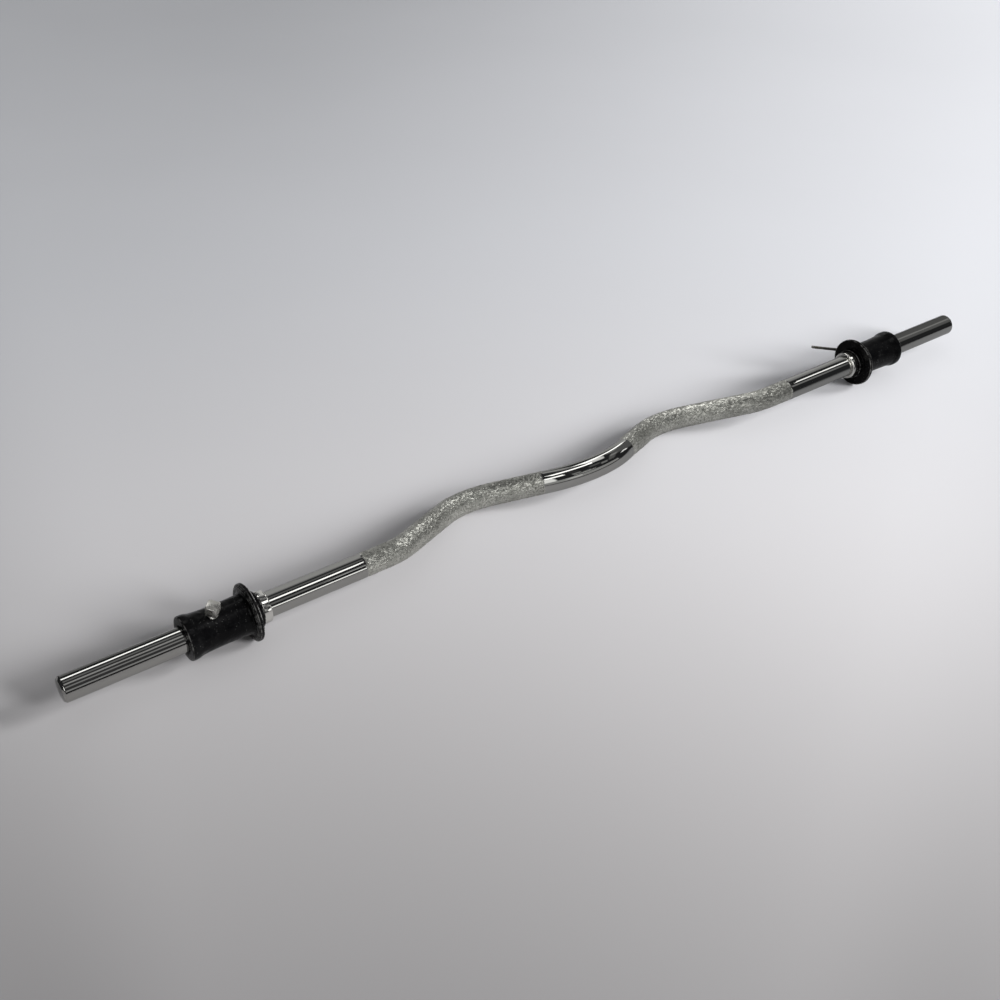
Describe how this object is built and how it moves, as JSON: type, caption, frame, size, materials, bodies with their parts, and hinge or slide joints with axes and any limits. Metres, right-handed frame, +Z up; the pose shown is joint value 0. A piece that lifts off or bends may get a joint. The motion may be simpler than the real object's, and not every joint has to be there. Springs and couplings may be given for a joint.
{
  "type": "curl bar",
  "caption": "Short weightlifting bar with a double-crest angled grip, fixed stop rings and sliding spool collars locked by square-head set screws.",
  "frame": {"origin": "on the floor under the middle of the bar, at the centre of the whole object's footprint", "axes": "+X along the straight bar ends, +Y towards the side the crests lean to, +Z up"},
  "size_m": [1.194, 0.091, 0.0633],
  "materials": {
    "bar_chrome": "bright chrome, with a diamond knurl in both grips",
    "ring_chrome": "bright chrome",
    "collar_black": "black gloss paint over casting",
    "screw_steel": "bright zinc plate",
    "tommy_steel": "bright zinc plate"
  },
  "bodies": {
    "bar": {"curl_bar": "bar_chrome", "left_stop_ring": "ring_chrome", "right_stop_ring": "ring_chrome"},
    "left_collar": {"left_collar": "collar_black"},
    "right_collar": {"right_collar": "collar_black"},
    "left_set_screw": {"left_set_screw": "screw_steel"},
    "right_set_screw": {"right_set_screw": "screw_steel"},
    "tommy_bar": {"tommy_bar": "tommy_steel"}
  },
  "joints": [
    {"name": "left_collar_slide", "type": "slide", "parent": "bar", "child": "left_collar", "axis": [-1, 0, 0], "range_m": [0, 0.2]},
    {"name": "right_collar_slide", "type": "slide", "parent": "bar", "child": "right_collar", "axis": [1, 0, 0], "range_m": [0, 0.2]},
    {"name": "left_screw_turn", "type": "hinge", "parent": "left_collar", "child": "left_set_screw", "pos_m": [-0.4535, -0.01654, 0.029], "axis": [0, -0.2756, 0.9613], "range_deg": [0, 450]},
    {"name": "right_screw_turn", "type": "hinge", "parent": "right_collar", "child": "right_set_screw", "pos_m": [0.4535, -0.01654, 0.029], "axis": [0, 0.9563, -0.2924], "range_deg": [0, 450]},
    {"name": "tommy_bar_slide", "type": "slide", "parent": "right_set_screw", "child": "tommy_bar", "axis": [-0.9397, 0.1, 0.3271], "range_m": [-0.035, 0.11]}
  ]
}
